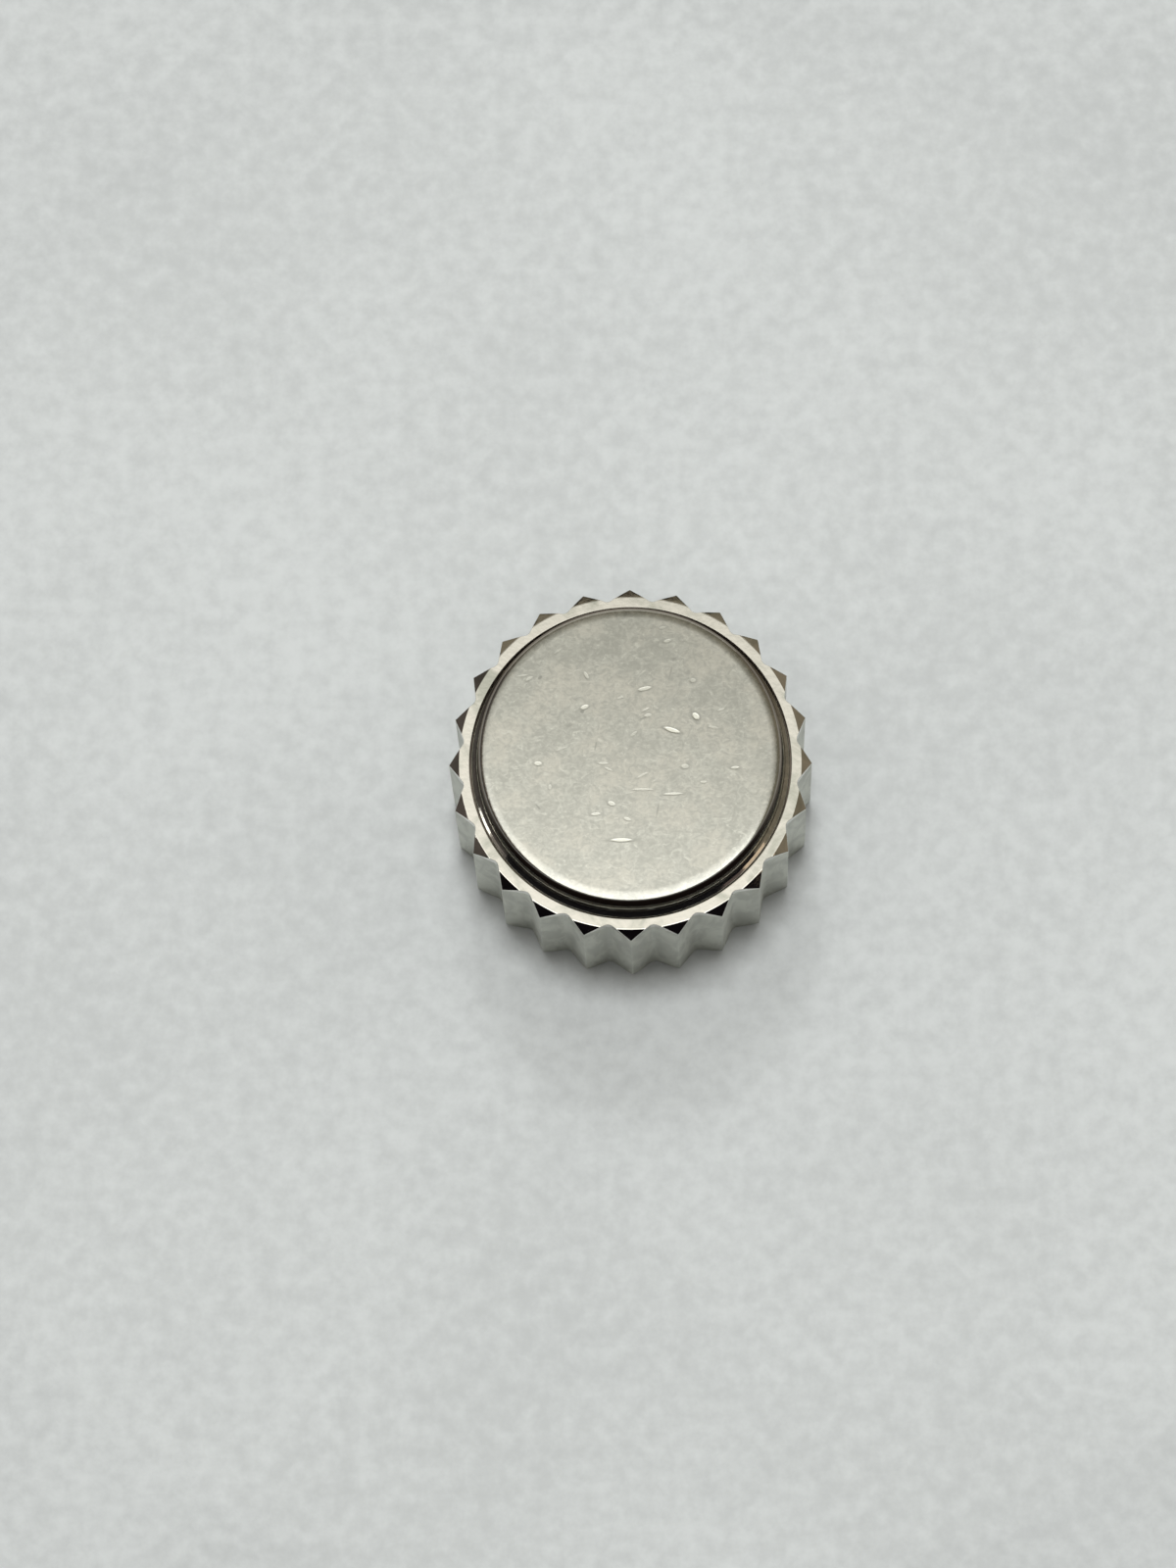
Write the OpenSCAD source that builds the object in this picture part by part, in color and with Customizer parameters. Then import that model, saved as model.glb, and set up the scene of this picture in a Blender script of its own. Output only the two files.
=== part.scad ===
// Screw-down watch crown with a sprung stem hub. Millimetres, +Z up.
// It stands on its open side: the origin is the centre of the base, and the cap is on top.

/* [Head] */
// Diameter over the tooth tips
head_d = 7.0; // [6.8:0.1:9]
// Height from the base to the flat land round the cap
head_h = 3.10; // [2.95:0.05:4]
// Number of teeth round the head
tooth_count = 24; // [18:1:32]
// Angle between the two flanks of a tooth, in degrees
tooth_angle = 108; // [98:1:116]
// Radius of the rounded valley between two teeth
valley_round = 0.15; // [0.05:0.01:0.2]
// Width of the chamfer over the teeth, seen from above
top_chamfer_w = 0.20; // [0.15:0.01:0.3]
// Height of the chamfer over the teeth
top_chamfer_h = 0.16; // [0.1:0.01:0.3]
// Chamfer of the teeth at the base
base_chamfer = 0.08; // [0.02:0.01:0.15]
// Width of the flat land between the chamfer and the seam round the cap
land_w = 0.20; // [0.15:0.01:0.3]
// Thickness of the web between the counterbore and the socket
web_t = 0.20; // [0.15:0.01:0.4]

/* [Cap] */
// Height of the cap's centre above the land
cap_proud = 0.72; // [0.6:0.01:0.9]
// Wall thickness of the cap
cap_t = 0.40; // [0.3:0.01:0.46]
// Rise of the cap's domed face
cap_dome = 0.05; // [0.02:0.01:0.12]
// Width of the rounded edge of the cap
cap_edge_w = 0.24; // [0.1:0.01:0.4]
// Height of the rounded edge of the cap
cap_edge_h = 0.11; // [0.05:0.01:0.2]
// Width of the brim at the foot of the cap
brim_w = 0.14; // [0.12:0.01:0.25]
// Thickness of the brim at its outer edge
brim_t = 0.23; // [0.15:0.01:0.25]
// Depth below the land at which the fillet runs into the brim
brim_drop = 0.00; // [0:0.01:0.06]
// Slope of the brim, down and outward, in degrees
brim_slope = 34; // [20:1:40]
// Fillet between the cap's wall and its brim
cap_fillet = 0.24; // [0.06:0.01:0.26]

/* [Case tube thread] */
// Major diameter of the thread that screws on the case tube
tube_thread_d = 4.6; // [4.2:0.1:4.8]
// Pitch of that thread
tube_thread_pitch = 0.35; // [0.25:0.05:0.45]
// Wall of the thread sleeve outside the thread
sleeve_wall = 0.50; // [0.35:0.05:0.55]
// Distance of the thread sleeve's mouth above the base
sleeve_recess = 0.15; // [0.05:0.01:0.3]
// Lead-in chamfer at the mouth of the thread
thread_lead = 0.15; // [0.05:0.01:0.25]
// Plain bore between the thread's last turn and the sleeve's end, at the least
thread_relief = 0.12; // [0.05:0.01:0.3]
// Ledge of the sleeve's end that the gasket washer rests on
gasket_ledge = 0.24; // [0.12:0.01:0.28]
// Thickness of the face gasket
gasket_t = 0.30; // [0.2:0.01:0.45]
// Thickness of the gasket washer
gasket_washer_t = 0.12; // [0.08:0.01:0.2]

/* [Guide tube] */
// Hexagonal bore of the guide tube, across flats
hex_af = 1.62; // [1.5:0.02:1.8]
// Wall between the bore's corners and the floor of the O-ring groove
guide_wall = 0.145; // [0.12:0.005:0.2]
// Depth of the O-ring groove
groove_depth = 0.17; // [0.14:0.01:0.2]
// Width of the O-ring groove
groove_w = 0.34; // [0.32:0.01:0.5]
// Height of the O-ring groove's middle above the base
groove_z = 1.20; // [0.9:0.05:1.8]
// Thickness of the O-ring's cord
o_ring_cord_d = 0.28; // [0.24:0.01:0.3]
// Distance of the guide tube's mouth above the base
guide_recess = 0.20; // [0.15:0.01:0.4]
// Step from the guide tube's post in to the shank that is pressed into the head
shank_step = 0.18; // [0.16:0.01:0.2]
// Thickness of the guide tube's closed end
guide_roof_t = 0.20; // [0.12:0.01:0.4]
// Chamfer round the guide tube's mouth
guide_chamfer = 0.08; // [0.03:0.01:0.12]
// Thickness of the hub's retaining ring
ring_t = 0.15; // [0.1:0.01:0.25]
// How far the retaining ring reaches past the bore's corners
ring_ledge = 0.115; // [0.08:0.005:0.15]

/* [Stem hub] */
// How far the hub slides into the head
hub_travel = 0.90; // [0.5:0.05:1.1]
// Tapping diameter of the hole for the winding stem
stem_tap_d = 0.70; // [0.6:0.02:0.8]
// Countersink at the mouth of the stem hole
stem_countersink = 0.05; // [0.02:0.01:0.08]
// Wall round the stem hole in the hub's neck
hub_neck_wall = 0.25; // [0.15:0.01:0.3]
// Distance that the neck stands out of the retaining ring
hub_proud = 0.12; // [0.05:0.01:0.15]
// Thickness of the hub above the blind stem hole
hub_roof_t = 0.20; // [0.12:0.01:0.35]

/* [Spring] */
// Wire diameter of the hub's spring
spring_wire_d = 0.16; // [0.12:0.01:0.18]
// Turns of wire in the spring
spring_turns = 4.5; // [3:0.5:5]
// Spare length of the spring at the end of the hub's travel
spring_spare = 0.11; // [0.05:0.01:0.3]
// Room between the spring's outside and the flats of the bore
spring_side_gap = 0.12; // [0.06:0.01:0.2]
// Thickness of the washer over the spring
spring_washer_t = 0.08; // [0.06:0.01:0.15]
// Hole in the washer over the spring
spring_washer_bore_d = 0.60; // [0.3:0.05:0.8]

/* [Fits] */
// Radial gap of pieces that are pressed or bonded together
press_gap = 0.01; // [0.005:0.005:0.015]
// Gap along the axis between pieces that rest on each other
seat_gap = 0.01; // [0.005:0.005:0.02]
// Radial gap between the cap's brim and the counterbore
seam_gap = 0.03; // [0.01:0.01:0.05]
// Gap between the hub and each flat of the guide tube's bore
slide_gap = 0.02; // [0.01:0.005:0.04]
// Radial gap between the hub's neck and the retaining ring
neck_gap = 0.03; // [0.02:0.01:0.05]
// Radial gap round the loose rings and washers
ring_gap = 0.02; // [0.01:0.01:0.03]

/* [Hidden] */
$fn = 96;
// Reach of a cut past the face that it opens
cut = 0.5;

// Teeth: a star whose valleys are rounded by an arc
tip_r = head_d / 2;
half_pitch = 180 / tooth_count;
half_tip = tooth_angle / 2;
sharp_valley_r = tip_r * tan(half_tip) / (sin(half_pitch) + tan(half_tip) * cos(half_pitch));
half_valley = half_tip + half_pitch;
valley_flank = valley_round / tan(half_valley);
valley_side = valley_flank * sin(half_valley);
valley_side_r = sharp_valley_r + valley_flank * cos(half_valley);
// The round is let into the flanks by this much, so that it crosses them cleanly
valley_bite = 0.002;
valley_centre_r = sharp_valley_r + valley_round / sin(half_valley) - valley_bite;

// Radii of the head and the cap, from the outside in
land_r = tip_r - top_chamfer_w;
counterbore_r = land_r - land_w;
brim_r = counterbore_r - seam_gap;
cap_r = brim_r - brim_w;
cap_bore_r = cap_r - cap_t;
boss_r = cap_bore_r - press_gap;

// Heights of the cap, from the top down
cap_top_z = head_h + cap_proud;
cap_flat_z = cap_top_z - cap_dome;
cap_wall_z = cap_flat_z - cap_edge_h;
cap_ceiling_z = cap_flat_z - cap_t;
brim_foot_z = head_h - brim_drop;
fillet_w = cap_fillet * (1 - sin(brim_slope));
brim_edge_z = brim_foot_z - (brim_w - fillet_w) * tan(brim_slope);
brim_seat_z = brim_edge_z - brim_t;

// The shell's boss, and the stack that hangs from the socket's ceiling under the counterbore
boss_z = cap_ceiling_z - seat_gap;
socket_z = brim_seat_z - web_t;
gasket_z = socket_z - gasket_t;
gasket_washer_z = gasket_z - gasket_washer_t;
shoulder_z = gasket_washer_z - seat_gap;

// Case tube thread: an internal thread's crest lies 0.5413 of its pitch inside its root
THREAD_DEPTH = 0.5413;
thread_root_r = tube_thread_d / 2;
thread_crest_r = thread_root_r - THREAD_DEPTH * tube_thread_pitch;
sleeve_r = thread_root_r + sleeve_wall;
sleeve_z = sleeve_recess;
sleeve_top_z = shoulder_z - seat_gap;
gasket_pocket_r = thread_crest_r + gasket_ledge;
thread_z = sleeve_z + thread_lead;
groove_count = floor((sleeve_top_z - thread_relief - thread_z) / tube_thread_pitch);

// Guide tube: radii from the hexagonal bore out
hex_corner_r = hex_af / 2 / cos(30);
groove_r = hex_corner_r + guide_wall;
guide_r = groove_r + groove_depth;
shank_r = guide_r - shank_step;
ring_seat_r = hex_corner_r + ring_ledge;
ring_top_z = guide_recess + ring_t;
guide_ceiling_z = boss_z - guide_roof_t;

// Stem hub and spring: the hub's head fills what the spring leaves
neck_r = stem_tap_d / 2 + hub_neck_wall;
neck_z = guide_recess - hub_proud;
head_z = ring_top_z + seat_gap;
hub_af = hex_af - 2 * slide_gap;
spring_solid = (spring_turns + 1) * spring_wire_d;
spring_len = spring_solid + hub_travel + spring_spare;
spring_washer_z = guide_ceiling_z - seat_gap - spring_washer_t;
hub_top_z = spring_washer_z - spring_len;
spring_r = hex_af / 2 - spring_side_gap - spring_wire_d / 2;
stem_hole_z = hub_top_z - hub_roof_t;

// Spring wire: sides of its section, sections in a turn, and the turns that are closed at each end
WIRE_SIDES = 8;
WIRE_STEPS = 20;
CLOSED_TURNS = 0.75;
// Pitch of the closed turns, as a multiple of the wire
CLOSED_PITCH = 1.15;
closed_pitch = CLOSED_PITCH * spring_wire_d;
coil_low_z = hub_top_z + seat_gap + spring_wire_d / 2;
coil_rise = spring_len - 2 * seat_gap - spring_wire_d;
open_pitch = (coil_rise - 2 * CLOSED_TURNS * closed_pitch) / (spring_turns - 2 * CLOSED_TURNS);

// Steps in the curves of a turned profile
PROFILE_STEPS = 8;

// Height of the spring's wire after a number of turns
function coil_z(turn) =
    turn < CLOSED_TURNS ? turn * closed_pitch
    : turn > spring_turns - CLOSED_TURNS ? coil_rise - (spring_turns - turn) * closed_pitch
    : CLOSED_TURNS * closed_pitch + (turn - CLOSED_TURNS) * open_pitch;

// Point on the spring's wire: turn along the coil, and angle round the wire's section
function wire_point(turn, side) =
    let (
        a = 360 * turn,
        out = spring_r + spring_wire_d / 2 * cos(side),
        up = spring_wire_d / 2 * sin(side)
    )
    [out * cos(a), out * sin(a), coil_low_z + coil_z(turn) + up];

// Quarter of an ellipse from straight up to straight out, as points in a turned profile
function quarter(centre_r, centre_z, w, h) =
    [for (i = [0:PROFILE_STEPS]) let (a = 90 - 90 * i / PROFILE_STEPS)
        [centre_r + w * cos(a), centre_z + h * sin(a)]];

// Hollow arc from a wall to the surface that slopes down from its foot, drawn downward and outward
function foot_fillet(wall_r, foot_z, r, slope) =
    [for (i = [0:PROFILE_STEPS]) let (a = 180 + (90 - slope) * i / PROFILE_STEPS)
        [wall_r + r + r * cos(a), foot_z + r * cos(slope) + r * sin(a)]];

// Ring with a square section
module flat_ring(outer_r, inner_r, low_z, thickness) {
    translate([0, 0, low_z])
        difference() {
            cylinder(r = outer_r, h = thickness);
            translate([0, 0, -cut])
                cylinder(r = inner_r, h = thickness + 2 * cut);
        }
}

// Hexagonal prism across its flats
module hex_prism(af, h) {
    cylinder(r = af / 2 / cos(30), h = h, $fn = 6);
}

// Point at a radius and an angle, moved sideways from the line through the axis
function beside(r, side, a) = [r * cos(a) - side * sin(a), r * sin(a) + side * cos(a)];

// Outline of the teeth: flanks that stop at the valleys' rounds, and the rounds cut out between them
module tooth_outline() {
    difference() {
        polygon([for (i = [0:tooth_count - 1])
            let (tip = 2 * i * half_pitch, valley = tip + half_pitch)
            each [
                beside(tip_r, 0, tip),
                beside(valley_side_r, -valley_side, valley),
                beside(valley_side_r, valley_side, valley)
            ]]);
        for (i = [0:tooth_count - 1])
            rotate((2 * i + 1) * half_pitch)
                translate([valley_centre_r, 0])
                    circle(r = valley_round);
    }
}

// Turned blank that the teeth are cut on, with a chamfer at each end
module head_blank() {
    reach = base_chamfer;
    rotate_extrude()
        polygon([
            [0, 0],
            [tip_r - base_chamfer, 0],
            [tip_r + reach, base_chamfer + reach],
            [tip_r + reach, head_h - top_chamfer_h * (1 + reach / top_chamfer_w)],
            [land_r, head_h],
            [0, head_h]
        ]);
}

// Knurled head with its counterbore, its boss and its socket
module head_shell() {
    color([0.72, 0.71, 0.68])
        difference() {
            union() {
                difference() {
                    intersection() {
                        linear_extrude(height = head_h)
                            tooth_outline();
                        head_blank();
                    }
                    translate([0, 0, brim_seat_z])
                        cylinder(r = counterbore_r, h = head_h);
                }
                cylinder(r = boss_r, h = boss_z);
            }
            translate([0, 0, -cut])
                cylinder(r = sleeve_r, h = shoulder_z + cut);
            translate([0, 0, -cut])
                cylinder(r = gasket_pocket_r, h = socket_z + cut);
            cylinder(r = shank_r + press_gap, h = boss_z + cut);
        }
}

// Cap: a domed cover over the boss, with a sloping brim that lies in the counterbore
module top_cap() {
    color([0.76, 0.75, 0.70])
        rotate_extrude()
            polygon(concat(
                [for (i = [0:PROFILE_STEPS - 1]) let (r = (cap_r - cap_edge_w) * i / PROFILE_STEPS)
                    [r, cap_top_z - cap_dome * pow(i / PROFILE_STEPS, 2)]],
                quarter(cap_r - cap_edge_w, cap_wall_z, cap_edge_w, cap_edge_h),
                foot_fillet(cap_r, brim_foot_z, cap_fillet, brim_slope),
                [
                    [brim_r, brim_edge_z],
                    [brim_r, brim_seat_z],
                    [cap_bore_r, brim_seat_z],
                    [cap_bore_r, cap_ceiling_z],
                    [0, cap_ceiling_z]
                ]
            ));
}

// Sleeve with the internal thread for the case tube, drawn as rings at the thread's pitch
module thread_sleeve() {
    color([0.66, 0.66, 0.65])
        rotate_extrude()
            polygon(concat(
                [
                    [sleeve_r - press_gap, sleeve_top_z],
                    [sleeve_r - press_gap, sleeve_z],
                    [thread_root_r, sleeve_z]
                ],
                [for (i = [0:2 * groove_count])
                    [i % 2 == 0 ? thread_crest_r : thread_root_r, thread_z + i / 2 * tube_thread_pitch]],
                [[thread_crest_r, sleeve_top_z]]
            ));
}

// Central post with a thinner shank above it: round outside, hexagonal inside, closed at the top
module guide_tube() {
    color([0.70, 0.70, 0.70])
        difference() {
            rotate_extrude()
                polygon([
                    [0, guide_recess],
                    [guide_r - guide_chamfer, guide_recess],
                    [guide_r, guide_recess + guide_chamfer],
                    [guide_r, groove_z - groove_w / 2],
                    [groove_r, groove_z - groove_w / 2],
                    [groove_r, groove_z + groove_w / 2],
                    [guide_r, groove_z + groove_w / 2],
                    [guide_r, shoulder_z],
                    [shank_r, shoulder_z],
                    [shank_r, boss_z],
                    [0, boss_z]
                ]);
            cylinder(r = ring_seat_r, h = ring_top_z);
            hex_prism(hex_af, guide_ceiling_z);
        }
}

// Sliding hub: a hexagonal head and a round neck, tapped for the winding stem
module stem_hub() {
    color([0.67, 0.65, 0.61])
        difference() {
            union() {
                translate([0, 0, neck_z])
                    cylinder(r = neck_r, h = head_z - neck_z);
                translate([0, 0, head_z])
                    hex_prism(hub_af, hub_top_z - head_z);
            }
            translate([0, 0, neck_z - cut])
                cylinder(r = stem_tap_d / 2, h = stem_hole_z - neck_z + cut);
            translate([0, 0, neck_z])
                cylinder(r1 = stem_tap_d / 2 + stem_countersink, r2 = stem_tap_d / 2, h = stem_countersink);
        }
}

// Compression spring between the hub and its washer
module hub_spring() {
    rings = spring_turns * WIRE_STEPS;
    points = [for (i = [0:rings], j = [0:WIRE_SIDES - 1])
        wire_point(i / WIRE_STEPS, 360 * j / WIRE_SIDES)];
    wall = [for (i = [0:rings - 1], j = [0:WIRE_SIDES - 1])
        let (k = (j + 1) % WIRE_SIDES, low = i * WIRE_SIDES, high = low + WIRE_SIDES)
        each [[low + j, low + k, high + k], [low + j, high + k, high + j]]];
    start_cap = [for (j = [1:WIRE_SIDES - 2]) [0, j + 1, j]];
    last = rings * WIRE_SIDES;
    end_cap = [for (j = [1:WIRE_SIDES - 2]) [last, last + j, last + j + 1]];
    color([0.60, 0.60, 0.62])
        polyhedron(points = points, faces = concat(wall, start_cap, end_cap));
}

// Washer between the spring and the closed end of the guide tube
module spring_washer() {
    color([0.62, 0.62, 0.64])
        flat_ring(hex_af / 2 - ring_gap, spring_washer_bore_d / 2, spring_washer_z, spring_washer_t);
}

// Ring in the guide tube's mouth that holds the hub in
module hub_retaining_ring() {
    color([0.68, 0.68, 0.70])
        flat_ring(ring_seat_r - press_gap, neck_r + neck_gap, guide_recess, ring_t);
}

// Rubber ring at the ceiling of the socket
module face_gasket() {
    color([0.10, 0.10, 0.11])
        flat_ring(gasket_pocket_r - ring_gap, shank_r + ring_gap, gasket_z, gasket_t);
}

// Slip washer under the gasket, held up by the end of the thread sleeve and the guide tube's post
module gasket_washer() {
    color([0.64, 0.64, 0.66])
        flat_ring(gasket_pocket_r - ring_gap, shank_r + ring_gap, gasket_washer_z, gasket_washer_t);
}

// Rubber O-ring in the guide tube's groove
module guide_o_ring() {
    color([0.08, 0.08, 0.09])
        translate([0, 0, groove_z])
            rotate_extrude()
                translate([groove_r + press_gap + o_ring_cord_d / 2, 0])
                    circle(r = o_ring_cord_d / 2);
}

head_shell();
top_cap();
thread_sleeve();
guide_tube();
stem_hub();
hub_spring();
spring_washer();
hub_retaining_ring();
face_gasket();
gasket_washer();
guide_o_ring();
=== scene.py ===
"""Looks of a screw-down watch crown that stands on its open side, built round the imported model.

Shapes are worked out in millimetres and scaled to metres at the end. The axis is +Z.
"""

import math

import bmesh
import bpy
from mathutils import Matrix, Vector


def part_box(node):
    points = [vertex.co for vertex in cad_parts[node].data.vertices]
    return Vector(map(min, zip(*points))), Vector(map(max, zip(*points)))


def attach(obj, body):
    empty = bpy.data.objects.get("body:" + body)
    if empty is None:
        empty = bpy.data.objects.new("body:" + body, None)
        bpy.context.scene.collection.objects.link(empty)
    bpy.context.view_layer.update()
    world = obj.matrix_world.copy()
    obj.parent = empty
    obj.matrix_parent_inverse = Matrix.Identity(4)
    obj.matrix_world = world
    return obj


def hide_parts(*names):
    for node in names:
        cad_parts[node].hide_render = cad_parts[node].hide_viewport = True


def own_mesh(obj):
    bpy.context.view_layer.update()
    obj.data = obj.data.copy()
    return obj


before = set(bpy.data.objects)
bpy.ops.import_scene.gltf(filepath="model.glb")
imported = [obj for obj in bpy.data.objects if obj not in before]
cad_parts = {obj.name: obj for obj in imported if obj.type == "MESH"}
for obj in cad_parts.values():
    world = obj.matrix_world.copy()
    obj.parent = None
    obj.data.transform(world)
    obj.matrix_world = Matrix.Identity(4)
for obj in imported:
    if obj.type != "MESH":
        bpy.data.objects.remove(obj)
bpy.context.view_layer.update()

MM = 0.001


def extent(node):
    """Outer radius, lowest and highest point of a CAD node on the axis, in millimetres."""
    low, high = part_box(node)
    return high.x / MM, low.z / MM, high.z / MM


# Sizes that the frame gives
TIP_R, _, BOSS_Z = extent("head_shell")
BRIM_R, BRIM_SEAT_Z, CAP_TOP_Z = extent("top_cap")
SLEEVE_R, SLEEVE_Z, SLEEVE_TOP_Z = extent("thread_sleeve")
POST_R, POST_Z, POST_TOP_Z = extent("guide_tube")
_, HUB_Z, HUB_TOP_Z = extent("stem_hub")
SPRING_R, SPRING_Z, SPRING_TOP_Z = extent("hub_spring")
WASHER_R, WASHER_Z, WASHER_TOP_Z = extent("spring_washer")
RING_R, RING_Z, RING_TOP_Z = extent("hub_retaining_ring")
GASKET_R, GASKET_Z, GASKET_TOP_Z = extent("face_gasket")
SLIP_R, SLIP_Z, SLIP_TOP_Z = extent("gasket_washer")
O_RING_R, O_RING_Z, O_RING_TOP_Z = extent("guide_o_ring")

# Head, in millimetres
TEETH = 24
TOOTH_ANGLE = math.radians(108)
VALLEY_ROUND = 0.15
TIP_ROUND = 0.014
LAND_Z = 3.10
LAND_W = 0.20
CHAMFER_W = 0.20
CHAMFER_H = 0.16
BASE_CHAMFER = 0.08
SEAM_GAP = 0.03
PRESS_GAP = 0.01
RING_GAP = 0.02
SOCKET_BREAK = 0.04
LAND_R = TIP_R - CHAMFER_W
FOOT_R = TIP_R - BASE_CHAMFER
COUNTERBORE_R = BRIM_R + SEAM_GAP

# Cap, in millimetres. Its rounded edge ends in a corner, CAP_EDGE_END degrees above level.
BRIM_W = 0.155
BRIM_SLOPE = math.radians(34)
CAP_FILLET = 0.24
CAP_T = 0.40
CAP_DOME = 0.05
CAP_EDGE_W = 0.24
CAP_EDGE_H = 0.11
CAP_EDGE_END = 20
CAP_R = BRIM_R - BRIM_W
CAP_BORE_R = CAP_R - CAP_T
CAP_FLAT_Z = CAP_TOP_Z - CAP_DOME

# Case tube thread and stem thread, in millimetres. Depth, crest and root are shares of the pitch.
TUBE_THREAD_D = 4.6
TUBE_THREAD_PITCH = 0.35
TUBE_THREAD_RELIEF = 0.12
STEM_TAP_R = 0.35
STEM_THREAD_PITCH = 0.225
STEM_HOLE_ROOF = 0.20
THREAD_DEPTH = 0.5413
THREAD_CREST = 0.25
THREAD_ROOT = 0.125
THREAD_LEAD_IN = 2

# Guide tube, hub and spring, in millimetres. CLOSED_PITCH is in widths of the wire.
SHANK_STEP = 0.18
HEX_AF = 1.62
HUB_AF = 1.58
GUIDE_ROOF_T = 0.20
GUIDE_CHAMFER = 0.08
O_RING_CORD_D = 0.28
GROOVE_W = 0.34
RING_LEDGE_GAP = 0.01
NECK_R = 0.60
NECK_GAP = 0.03
SEAT_GAP = 0.01
WIRE_D = 0.16
SPRING_TURNS = 4.5
CLOSED_TURNS = 0.75
CLOSED_PITCH = 1.15
WASHER_BORE_R = 0.30
SHANK_R = POST_R - SHANK_STEP
SHOULDER_Z = SLEEVE_TOP_Z + SEAT_GAP

# Broken edges, in millimetres. A corner's arc takes at most CORNER_SHARE of either line, and a turn
# under STRAIGHT is left as it is.
EDGE = 0.010
GASKET_EDGE = 0.04
CORNER_SHARE = 0.45
STRAIGHT = math.radians(1)

# Fineness of the meshes
CORNER_STEPS = 3
VALLEY_STEPS = 8
FLANK_STEP = 0.08
CURVE_STEPS = 14
ROUND_COLUMNS = 288
HEX_COLUMNS = 180
THREAD_COLUMNS = 160
THREAD_STEPS = 16
WIRE_RINGS = 48
WIRE_SIDES = 14
MERGE = 1e-5
SMOOTH_COSINE = math.cos(math.radians(45))

# The photograph's frame, and the camera fitted to it, which shows AIM at AIM_PX
PHOTO_W, PHOTO_H = 1200, 1600
SENSOR_MM = 36
FOCAL_PX = 6911
AIM_PX = (643.29, 779.96)
CAMERA_TURN = math.radians(4.03)
CAMERA_ELEVATION = math.radians(75.54)
CAMERA_ROLL = math.radians(4.28)
CAMERA_DISTANCE = 0.1305
CLIP_START = 0.01
CLIP_END = 2
AIM = Vector((0, 0, (LAND_Z - CHAMFER_H) * MM))


# Camera

def make_camera():
    """Makes the scene's camera. Returns its matrix."""
    turn, rise = CAMERA_TURN, CAMERA_ELEVATION
    level = Vector((math.cos(turn), math.sin(turn), 0))
    back = Vector((
        math.sin(turn) * math.cos(rise), -math.cos(turn) * math.cos(rise), math.sin(rise)))
    upright = back.cross(level)
    right = math.cos(CAMERA_ROLL) * level - math.sin(CAMERA_ROLL) * upright
    up = math.sin(CAMERA_ROLL) * level + math.cos(CAMERA_ROLL) * upright
    aside = (AIM_PX[0] - PHOTO_W / 2) / FOCAL_PX * CAMERA_DISTANCE
    below = (AIM_PX[1] - PHOTO_H / 2) / FOCAL_PX * CAMERA_DISTANCE
    place = AIM + back * CAMERA_DISTANCE - right * aside + up * below
    data = bpy.data.cameras.new("camera")
    data.lens = FOCAL_PX / PHOTO_H * SENSOR_MM
    data.sensor_width = SENSOR_MM
    data.clip_start = CLIP_START
    data.clip_end = CLIP_END
    camera = bpy.data.objects.new("camera", data)
    turned = Matrix((right, up, back)).transposed().to_4x4()
    camera.matrix_world = Matrix.Translation(place) @ turned
    bpy.context.scene.collection.objects.link(camera)
    bpy.context.scene.camera = camera
    return camera.matrix_world.copy()


def at_height(pixel, camera_matrix, z):
    """The point at height z, in metres, that the photograph shows at a pixel."""
    across, down = pixel[0] - PHOTO_W / 2, pixel[1] - PHOTO_H / 2
    ray = Vector((across / FOCAL_PX, -down / FOCAL_PX, -1))
    direction = camera_matrix.to_3x3() @ ray
    start = camera_matrix.translation
    return start + direction * ((z - start.z) / direction.z)


# Outlines and profiles, as lists of points in a plane

def arc(centre, radius, start, end, steps=CURVE_STEPS):
    """Points on an arc, from one angle to another in degrees."""
    angles = [math.radians(start + (end - start) * i / steps) for i in range(steps + 1)]
    return [(centre[0] + radius * math.cos(a), centre[1] + radius * math.sin(a)) for a in angles]


def ellipse_arc(centre, width, height, start, end, steps=CURVE_STEPS):
    """Points on an upright ellipse, from one angle to another in degrees."""
    circle = arc((0, 0), 1, start, end, steps)
    return [(centre[0] + width * x, centre[1] + height * y) for x, y in circle]


def round_corners(points, radius_at, steps=CORNER_STEPS, closed=False):
    """The line with its corners turned into arcs. radius_at(i) is the radius at corner i, and 0
    leaves it sharp."""
    line = [Vector(p) for p in points]
    result = []
    for i, corner in enumerate(line):
        radius = radius_at(i)
        if radius == 0 or (not closed and i in (0, len(line) - 1)):
            result.append(tuple(corner))
            continue
        into = corner - line[i - 1]
        out = line[(i + 1) % len(line)] - corner
        room = CORNER_SHARE * min(into.length, out.length)
        into.normalize()
        out.normalize()
        turn = math.atan2(into.x * out.y - into.y * out.x, into.dot(out))
        if abs(turn) < STRAIGHT:
            result.append(tuple(corner))
            continue
        reach = min(radius * math.tan(abs(turn) / 2), room)
        side = math.copysign(reach / math.tan(abs(turn) / 2), turn)
        start = corner - into * reach
        centre = start + Vector((-into.y, into.x)) * side
        for k in range(steps + 1):
            spoke = Matrix.Rotation(turn * k / steps, 2) @ (start - centre)
            result.append(tuple(centre + spoke))
    return result


def split_long(points, longest):
    """The closed line with points added, so that no stretch is longer than a length."""
    result = []
    for i, point in enumerate(points):
        a, b = Vector(point), Vector(points[(i + 1) % len(points)])
        count = max(1, math.ceil((b - a).length / longest))
        result += [tuple(a.lerp(b, k / count)) for k in range(count)]
    return result


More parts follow.
